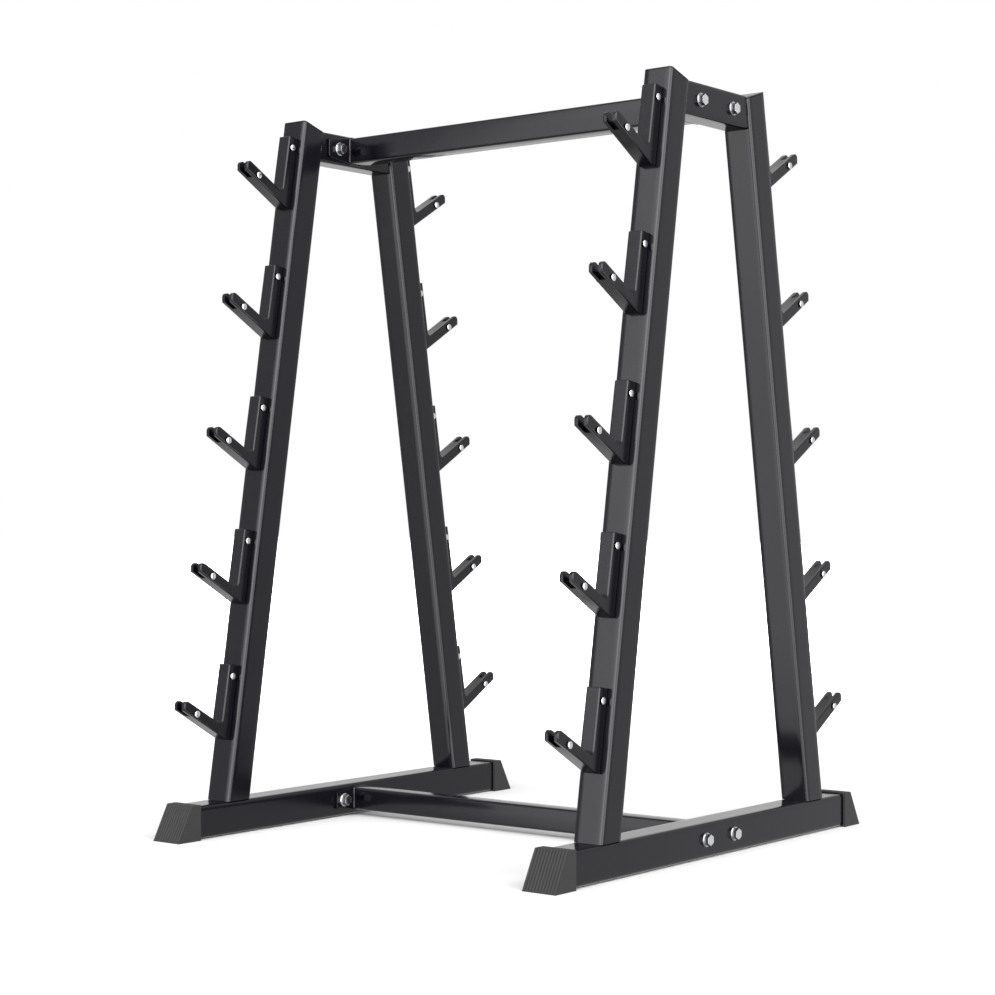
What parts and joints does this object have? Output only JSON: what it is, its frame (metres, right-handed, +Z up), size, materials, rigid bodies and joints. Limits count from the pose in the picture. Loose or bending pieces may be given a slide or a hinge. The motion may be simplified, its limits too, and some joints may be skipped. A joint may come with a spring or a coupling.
{
  "type": "barbell storage rack",
  "caption": "Free-standing A-frame rack of black steel tube, with forked moulded cradles up the outside of its leaning uprights that hold fixed barbells on both sides.",
  "frame": {"origin": "on the floor, under the middle of the rack", "axes": "+X along the cross tubes, +Y from the front uprights to the rear ones, +Z up"},
  "size_m": [0.9866, 1.048, 1.4498],
  "materials": {
    "frame_coat": "gloss black powder coat",
    "cradle_moulding": "black nylon, moulded, half gloss",
    "cap_moulding": "black polyethylene, moulded, half gloss",
    "foot_rubber": "matt black rubber",
    "zinc_plate": "bright zinc plate"
  },
  "bodies": {
    "root": {"right_base_rail": "frame_coat", "right_top_tube": "frame_coat", "front_right_upright": "frame_coat", "front_right_top_cap": "cap_moulding", "front_right_foot": "foot_rubber", "front_right_cradle_1": "cradle_moulding", "front_right_cradle_2": "cradle_moulding", "front_right_cradle_3": "cradle_moulding", "front_right_cradle_4": "cradle_moulding", "front_right_cradle_5": "cradle_moulding", "rear_right_upright": "frame_coat", "rear_right_top_cap": "cap_moulding", "rear_right_foot": "foot_rubber", "rear_right_cradle_1": "cradle_moulding", "rear_right_cradle_2": "cradle_moulding", "rear_right_cradle_3": "cradle_moulding", "rear_right_cradle_4": "cradle_moulding", "rear_right_cradle_5": "cradle_moulding", "upper_right_end_plate": "frame_coat", "upper_right_front_bolt": "zinc_plate", "upper_right_front_nut": "zinc_plate", "upper_right_rear_bolt": "zinc_plate", "upper_right_rear_nut": "zinc_plate", "lower_right_end_plate": "frame_coat", "lower_right_front_bolt": "zinc_plate", "lower_right_front_nut": "zinc_plate", "lower_right_rear_bolt": "zinc_plate", "lower_right_rear_nut": "zinc_plate", "left_base_rail": "frame_coat", "left_top_tube": "frame_coat", "front_left_upright": "frame_coat", "front_left_top_cap": "cap_moulding", "front_left_foot": "foot_rubber", "front_left_cradle_1": "cradle_moulding", "front_left_cradle_2": "cradle_moulding", "front_left_cradle_3": "cradle_moulding", "front_left_cradle_4": "cradle_moulding", "front_left_cradle_5": "cradle_moulding", "rear_left_upright": "frame_coat", "rear_left_top_cap": "cap_moulding", "rear_left_foot": "foot_rubber", "rear_left_cradle_1": "cradle_moulding", "rear_left_cradle_2": "cradle_moulding", "rear_left_cradle_3": "cradle_moulding", "rear_left_cradle_4": "cradle_moulding", "rear_left_cradle_5": "cradle_moulding", "upper_left_end_plate": "frame_coat", "upper_left_front_bolt": "zinc_plate", "upper_left_front_nut": "zinc_plate", "upper_left_rear_bolt": "zinc_plate", "upper_left_rear_nut": "zinc_plate", "lower_left_end_plate": "frame_coat", "lower_left_front_bolt": "zinc_plate", "lower_left_front_nut": "zinc_plate", "lower_left_rear_bolt": "zinc_plate", "lower_left_rear_nut": "zinc_plate", "upper_cross_tube": "frame_coat", "lower_cross_tube": "frame_coat"}
  },
  "joints": []
}
